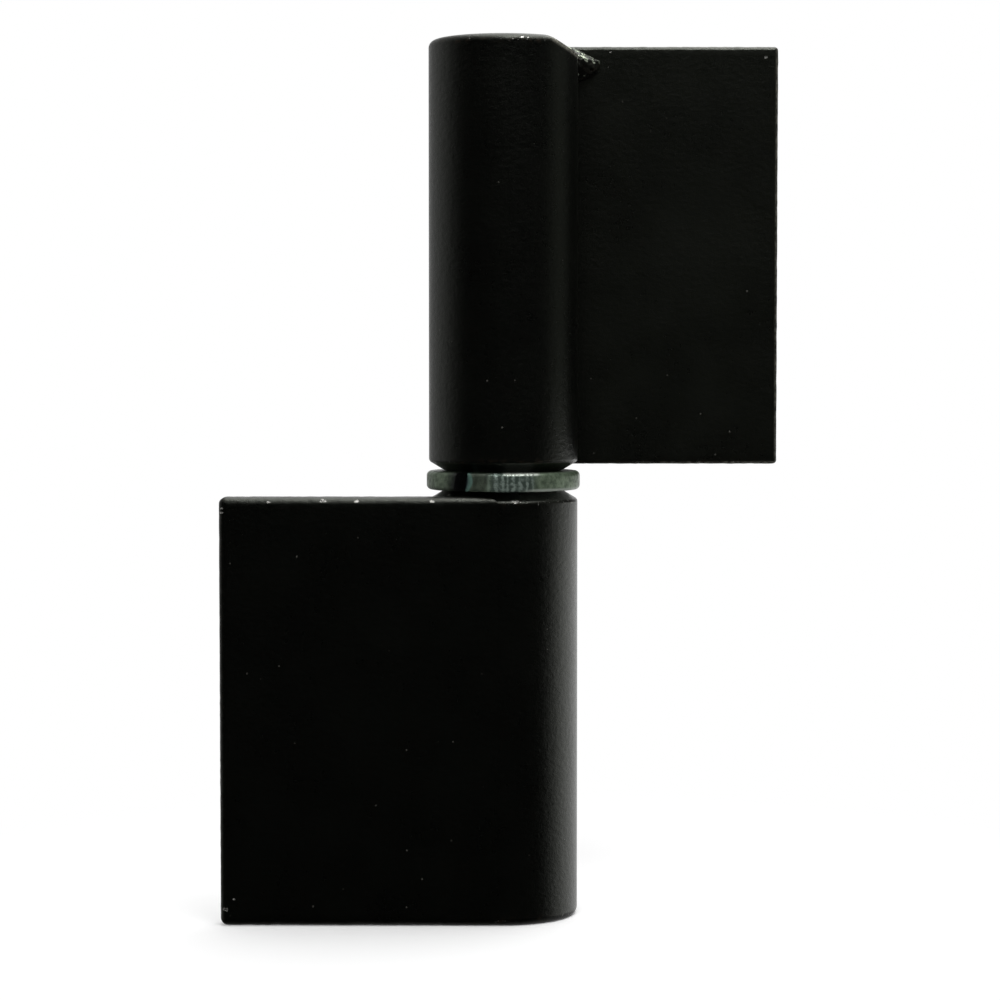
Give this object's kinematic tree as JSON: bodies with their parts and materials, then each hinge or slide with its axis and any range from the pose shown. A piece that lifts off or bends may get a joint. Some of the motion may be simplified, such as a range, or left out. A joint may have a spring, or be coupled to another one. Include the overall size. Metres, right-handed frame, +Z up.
{
  "type": "gate hinge",
  "caption": "Weld-on lift-off gate hinge: black round barrels with flat leaves on opposite sides, turning on a pin with a split spring washer between them.",
  "frame": {"origin": "on the pin's axis at the lower barrel's bottom face", "axes": "+Z up along the pin, +X along the upper leaf, -Y the front, where the lower leaf is flush with its barrel"},
  "size_m": [0.12, 0.033, 0.188],
  "materials": {
    "black_paint": "satin black paint on mild steel",
    "zinc_plate": "zinc plating with mottled streaks",
    "pin_steel": "bare drawn steel"
  },
  "bodies": {
    "lower_half": {"lower_barrel": "black_paint", "lower_leaf": "black_paint", "lower_seam_weld": "black_paint", "lower_corner_weld": "black_paint", "hinge_pin": "pin_steel"},
    "washer": {"spring_washer": "zinc_plate"},
    "upper_half": {"upper_barrel": "black_paint", "upper_leaf": "black_paint", "upper_seam_weld": "black_paint", "upper_corner_weld": "black_paint"}
  },
  "joints": [
    {"name": "swing", "type": "hinge", "parent": "lower_half", "child": "washer", "pos_m": [0, 0, 0.092], "axis": [0, 0, 1], "continuous": true},
    {"name": "lift_off", "type": "slide", "parent": "washer", "child": "upper_half", "axis": [0, 0, 1], "range_m": [0, 0.064]}
  ]
}
